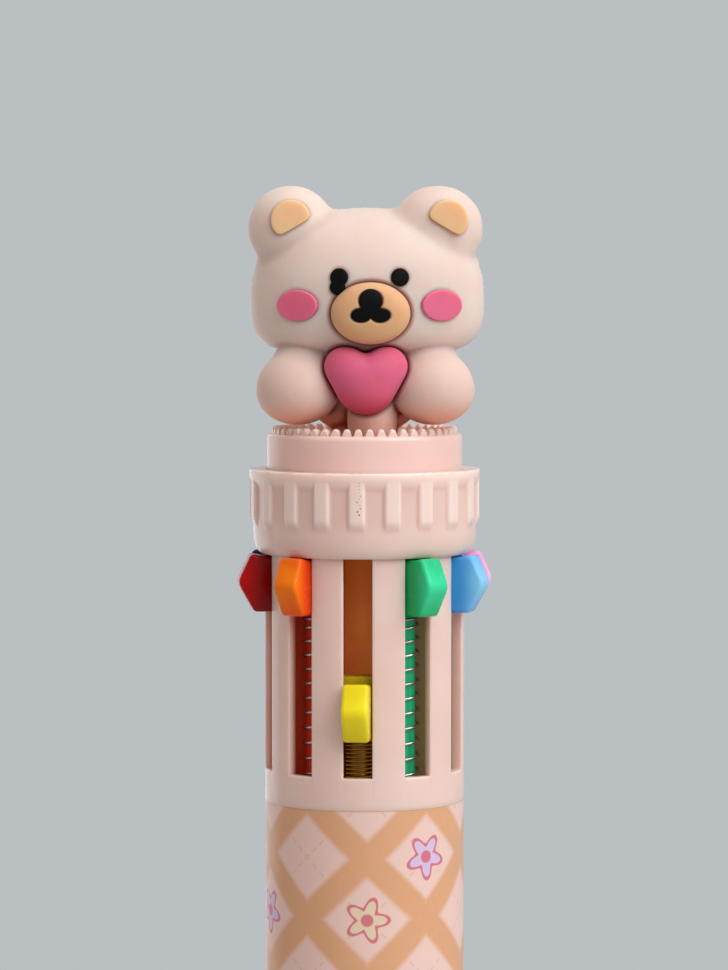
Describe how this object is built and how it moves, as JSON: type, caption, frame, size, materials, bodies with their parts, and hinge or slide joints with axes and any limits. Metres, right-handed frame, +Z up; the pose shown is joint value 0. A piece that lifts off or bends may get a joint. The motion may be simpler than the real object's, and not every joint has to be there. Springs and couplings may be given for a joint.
{
  "type": "multicolor click pen",
  "caption": "Thick ballpoint pen with sliding colour buttons in a slotted sleeve, a ribbed collar and a soft bear figure on top.",
  "frame": {"origin": "on the pen's axis, at the writing point of the refill that is clicked out", "axes": "+Z up the pen's axis towards the bear, -Y the front that the bear faces, +X the viewer's right"},
  "size_m": [0.0206, 0.0208, 0.1639],
  "materials": {
    "pink_shell": "satin moulded plastic",
    "printed_shell": "printed plastic",
    "bear_skin": "soft matte vinyl",
    "bear_tan": "soft matte vinyl",
    "bear_rose": "soft matte vinyl",
    "bear_dark": "soft matte vinyl",
    "spring_steel": "bright drawn wire",
    "button_yellow": "glossy moulded plastic",
    "ink_yellow": "clear tube filled with ink",
    "button_orange": "glossy moulded plastic",
    "ink_orange": "clear tube filled with ink",
    "button_red": "glossy moulded plastic",
    "ink_red": "clear tube filled with ink",
    "button_blue": "glossy moulded plastic",
    "ink_blue": "clear tube filled with ink",
    "button_black": "glossy moulded plastic",
    "ink_black": "clear tube filled with ink",
    "button_brown": "glossy moulded plastic",
    "ink_brown": "clear tube filled with ink",
    "button_purple": "glossy moulded plastic",
    "ink_purple": "clear tube filled with ink",
    "button_pink": "glossy moulded plastic",
    "ink_pink": "clear tube filled with ink",
    "button_sky": "glossy moulded plastic",
    "ink_sky": "clear tube filled with ink",
    "button_green": "glossy moulded plastic",
    "ink_green": "clear tube filled with ink"
  },
  "bodies": {
    "housing": {"nose_cone": "pink_shell", "lower_barrel": "printed_shell", "slotted_sleeve": "pink_shell", "latch_core": "pink_shell", "ribbed_collar": "pink_shell", "toothed_cap": "pink_shell", "bear_figure": "bear_skin", "ear_pad_left": "bear_tan", "ear_pad_right": "bear_tan", "eye_left": "bear_dark", "eye_right": "bear_dark", "cheek_left": "bear_rose", "cheek_right": "bear_rose", "muzzle": "bear_tan", "nose_and_mouth": "bear_dark", "heart": "bear_rose", "spring_yellow": "spring_steel", "spring_orange": "spring_steel", "spring_red": "spring_steel", "spring_blue": "spring_steel", "spring_black": "spring_steel", "spring_brown": "spring_steel", "spring_purple": "spring_steel", "spring_pink": "spring_steel", "spring_sky": "spring_steel", "spring_green": "spring_steel"},
    "yellow_button": {"button_yellow": "button_yellow"},
    "yellow_refill": {"refill_yellow": "ink_yellow"},
    "orange_button": {"button_orange": "button_orange"},
    "orange_refill": {"refill_orange": "ink_orange"},
    "red_button": {"button_red": "button_red"},
    "red_refill": {"refill_red": "ink_red"},
    "blue_button": {"button_blue": "button_blue"},
    "blue_refill": {"refill_blue": "ink_blue"},
    "black_button": {"button_black": "button_black"},
    "black_refill": {"refill_black": "ink_black"},
    "brown_button": {"button_brown": "button_brown"},
    "brown_refill": {"refill_brown": "ink_brown"},
    "purple_button": {"button_purple": "button_purple"},
    "purple_refill": {"refill_purple": "ink_purple"},
    "pink_button": {"button_pink": "button_pink"},
    "pink_refill": {"refill_pink": "ink_pink"},
    "sky_button": {"button_sky": "button_sky"},
    "sky_refill": {"refill_sky": "ink_sky"},
    "green_button": {"button_green": "button_green"},
    "green_refill": {"refill_green": "ink_green"}
  },
  "joints": [
    {"name": "yellow_click", "type": "slide", "parent": "housing", "child": "yellow_button", "axis": [0, 0, -1], "range_m": [-0.0098, 0], "stiffness_N_per_m": 100, "springref_m": -0.0138, "deforming": ["spring_yellow", "refill_yellow"]},
    {"name": "yellow_refill_bend", "type": "hinge", "parent": "yellow_button", "child": "yellow_refill", "pos_m": [-0.00038, -0.00547, 0.12009], "axis": [0.9976, -0.0698, 0], "range_deg": [-1.54, 0]},
    {"name": "orange_click", "type": "slide", "parent": "housing", "child": "orange_button", "axis": [0, 0, -1], "range_m": [0, 0.0098], "stiffness_N_per_m": 100, "springref_m": -0.004, "deforming": ["spring_orange", "refill_orange"]},
    {"name": "orange_refill_bend", "type": "hinge", "parent": "orange_button", "child": "orange_refill", "pos_m": [-0.00352, -0.0042, 0.12989], "axis": [0.766, -0.6428, 0], "range_deg": [0, 1.54]},
    {"name": "red_click", "type": "slide", "parent": "housing", "child": "red_button", "axis": [0, 0, -1], "range_m": [0, 0.0098], "stiffness_N_per_m": 100, "springref_m": -0.004, "deforming": ["spring_red", "refill_red"]},
    {"name": "red_refill_bend", "type": "hinge", "parent": "red_button", "child": "red_refill", "pos_m": [-0.00532, -0.00133, 0.12989], "axis": [0.2419, -0.9703, 0], "range_deg": [0, 1.54]},
    {"name": "blue_click", "type": "slide", "parent": "housing", "child": "blue_button", "axis": [0, 0, -1], "range_m": [0, 0.0098], "stiffness_N_per_m": 100, "springref_m": -0.004, "deforming": ["spring_blue", "refill_blue"]},
    {"name": "blue_refill_bend", "type": "hinge", "parent": "blue_button", "child": "blue_refill", "pos_m": [-0.00508, 0.00205, 0.12989], "axis": [-0.3746, -0.9272, 0], "range_deg": [0, 1.54]},
    {"name": "black_click", "type": "slide", "parent": "housing", "child": "black_button", "axis": [0, 0, -1], "range_m": [0, 0.0098], "stiffness_N_per_m": 100, "springref_m": -0.004, "deforming": ["spring_black", "refill_black"]},
    {"name": "black_refill_bend", "type": "hinge", "parent": "black_button", "child": "black_refill", "pos_m": [-0.0029, 0.00465, 0.12989], "axis": [-0.848, -0.5299, 0], "range_deg": [0, 1.54]},
    {"name": "brown_click", "type": "slide", "parent": "housing", "child": "brown_button", "axis": [0, 0, -1], "range_m": [0, 0.0098], "stiffness_N_per_m": 100, "springref_m": -0.004, "deforming": ["spring_brown", "refill_brown"]},
    {"name": "brown_refill_bend", "type": "hinge", "parent": "brown_button", "child": "brown_refill", "pos_m": [0.00038, 0.00547, 0.12989], "axis": [-0.9976, 0.0698, 0], "range_deg": [0, 1.54]},
    {"name": "purple_click", "type": "slide", "parent": "housing", "child": "purple_button", "axis": [0, 0, -1], "range_m": [0, 0.0098], "stiffness_N_per_m": 100, "springref_m": -0.004, "deforming": ["spring_purple", "refill_purple"]},
    {"name": "purple_refill_bend", "type": "hinge", "parent": "purple_button", "child": "purple_refill", "pos_m": [0.00352, 0.0042, 0.12989], "axis": [-0.766, 0.6428, 0], "range_deg": [0, 1.54]},
    {"name": "pink_click", "type": "slide", "parent": "housing", "child": "pink_button", "axis": [0, 0, -1], "range_m": [0, 0.0098], "stiffness_N_per_m": 100, "springref_m": -0.004, "deforming": ["spring_pink", "refill_pink"]},
    {"name": "pink_refill_bend", "type": "hinge", "parent": "pink_button", "child": "pink_refill", "pos_m": [0.00532, 0.00133, 0.12989], "axis": [-0.2419, 0.9703, 0], "range_deg": [0, 1.54]},
    {"name": "sky_click", "type": "slide", "parent": "housing", "child": "sky_button", "axis": [0, 0, -1], "range_m": [0, 0.0098], "stiffness_N_per_m": 100, "springref_m": -0.004, "deforming": ["spring_sky", "refill_sky"]},
    {"name": "sky_refill_bend", "type": "hinge", "parent": "sky_button", "child": "sky_refill", "pos_m": [0.00508, -0.00205, 0.12989], "axis": [0.3746, 0.9272, 0], "range_deg": [0, 1.54]},
    {"name": "green_click", "type": "slide", "parent": "housing", "child": "green_button", "axis": [0, 0, -1], "range_m": [0, 0.0098], "stiffness_N_per_m": 100, "springref_m": -0.004, "deforming": ["spring_green", "refill_green"]},
    {"name": "green_refill_bend", "type": "hinge", "parent": "green_button", "child": "green_refill", "pos_m": [0.0029, -0.00465, 0.12989], "axis": [0.848, 0.5299, 0], "range_deg": [0, 1.54]}
  ],
  "couplings": [
    {"joint": "yellow_refill_bend", "follows": "yellow_click", "rad_per_m": 2.7376},
    {"joint": "orange_refill_bend", "follows": "orange_click", "rad_per_m": 2.7376},
    {"joint": "red_refill_bend", "follows": "red_click", "rad_per_m": 2.7376},
    {"joint": "blue_refill_bend", "follows": "blue_click", "rad_per_m": 2.7376},
    {"joint": "black_refill_bend", "follows": "black_click", "rad_per_m": 2.7376},
    {"joint": "brown_refill_bend", "follows": "brown_click", "rad_per_m": 2.7376},
    {"joint": "purple_refill_bend", "follows": "purple_click", "rad_per_m": 2.7376},
    {"joint": "pink_refill_bend", "follows": "pink_click", "rad_per_m": 2.7376},
    {"joint": "sky_refill_bend", "follows": "sky_click", "rad_per_m": 2.7376},
    {"joint": "green_refill_bend", "follows": "green_click", "rad_per_m": 2.7376}
  ]
}
